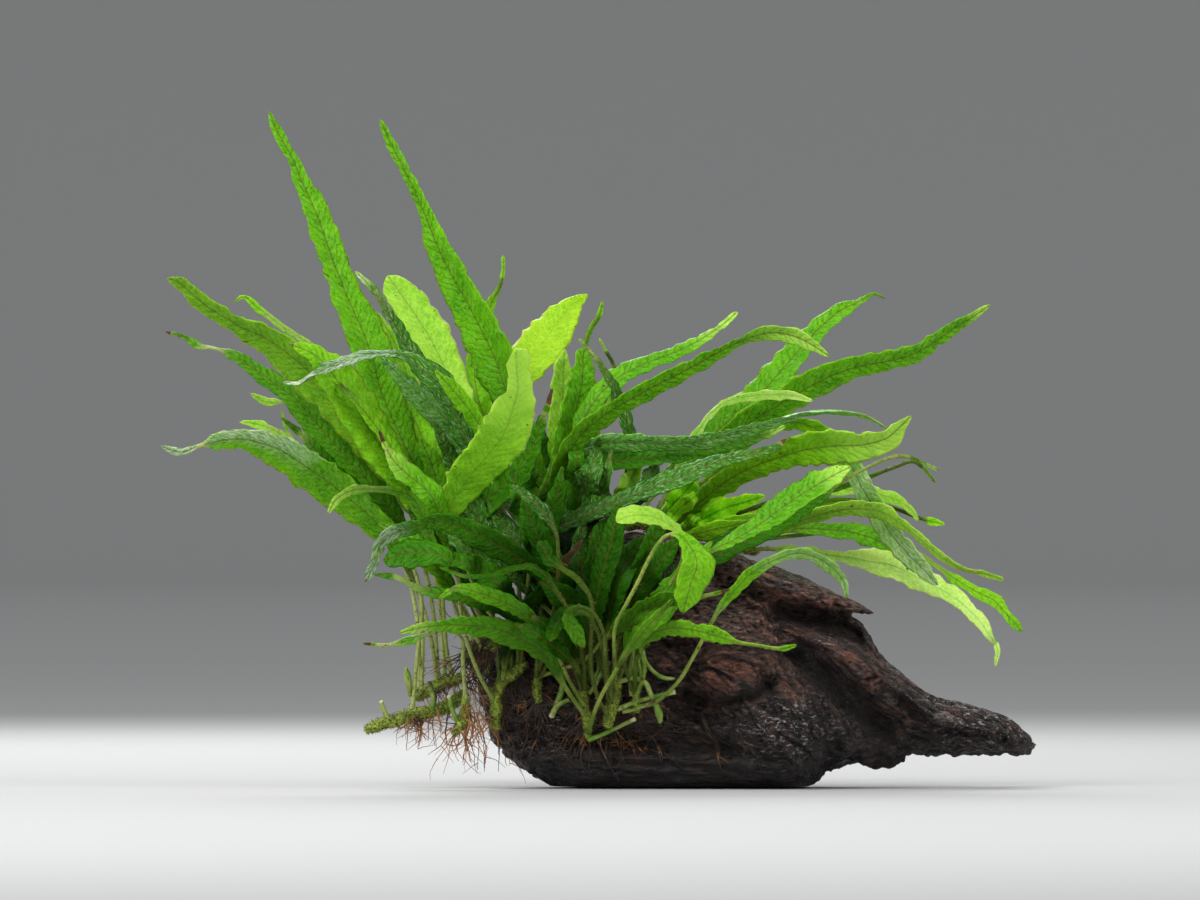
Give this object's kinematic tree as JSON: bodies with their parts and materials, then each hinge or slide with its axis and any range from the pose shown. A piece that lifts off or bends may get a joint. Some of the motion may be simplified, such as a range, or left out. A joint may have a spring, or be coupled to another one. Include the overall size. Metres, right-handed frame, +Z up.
{
  "type": "java fern on driftwood",
  "caption": "Narrow-leaved java fern grown over a piece of dark driftwood: long pointed fronds fan up and out from creeping green rhizomes on the wood.",
  "frame": {"origin": "middle of the flat worn underside of the driftwood, on which it rests", "axes": "+X to the right along the wood, as the plant is seen from its front; +Y away from the front; +Z up"},
  "size_m": [0.3048, 0.1269, 0.2367],
  "materials": {
    "driftwood": "dark waterlogged wood, furrowed along the grain, wet",
    "rhizome": "knobbly green creeping stem with brown scales and moss",
    "frond": "fresh green leaf, ruffled and veined, with a waxy wet gloss"
  },
  "bodies": {
    "root": {"driftwood": "driftwood", "frond_arch_dark": "frond", "frond_blunt_lime": "frond", "frond_bright_lime": "frond", "frond_centre_broad": "frond", "frond_centre_brown_tip": "frond", "frond_centre_dark": "frond", "frond_centre_folded": "frond", "frond_dark_glossy": "frond", "frond_dark_upright": "frond", "frond_front_arch_right": "frond", "frond_front_hanging": "frond", "frond_front_lobed": "frond", "frond_front_low": "frond", "frond_front_pale_stub": "frond", "frond_front_spoon": "frond", "frond_front_straight": "frond", "frond_glossy_grey": "frond", "frond_glossy_straight": "frond", "frond_left_bright_low": "frond", "frond_left_broad": "frond", "frond_left_grey": "frond", "frond_left_light_arch": "frond", "frond_left_low": "frond", "frond_left_middle": "frond", "frond_left_oval": "frond", "frond_left_string": "frond", "frond_left_upper": "frond", "frond_left_yellow": "frond", "frond_long_curved": "frond", "frond_middle_thin": "frond", "frond_pale_arch": "frond", "frond_right_broad": "frond", "frond_right_club": "frond", "frond_right_grey": "frond", "frond_right_high": "frond", "frond_right_lime_behind": "frond", "frond_right_lime_low": "frond", "frond_right_lime_thin": "frond", "frond_right_long_front": "frond", "frond_right_narrow": "frond", "frond_right_upper": "frond", "frond_speckled": "frond", "frond_tall_left": "frond", "frond_tall_right": "frond", "frond_torn_tip": "frond", "frond_twisted_dark": "frond", "frond_with_sori": "frond", "rhizome_back": "rhizome", "rhizome_crest": "rhizome", "rhizome_left_crown": "rhizome", "rhizome_left_fork": "rhizome", "rhizome_left_high": "rhizome", "rhizome_left_hook": "rhizome", "rhizome_left_low": "rhizome", "rhizome_wood_centre": "rhizome", "rhizome_wood_left": "rhizome", "rhizome_wood_middle": "rhizome", "rhizome_wood_right": "rhizome"}
  },
  "joints": []
}
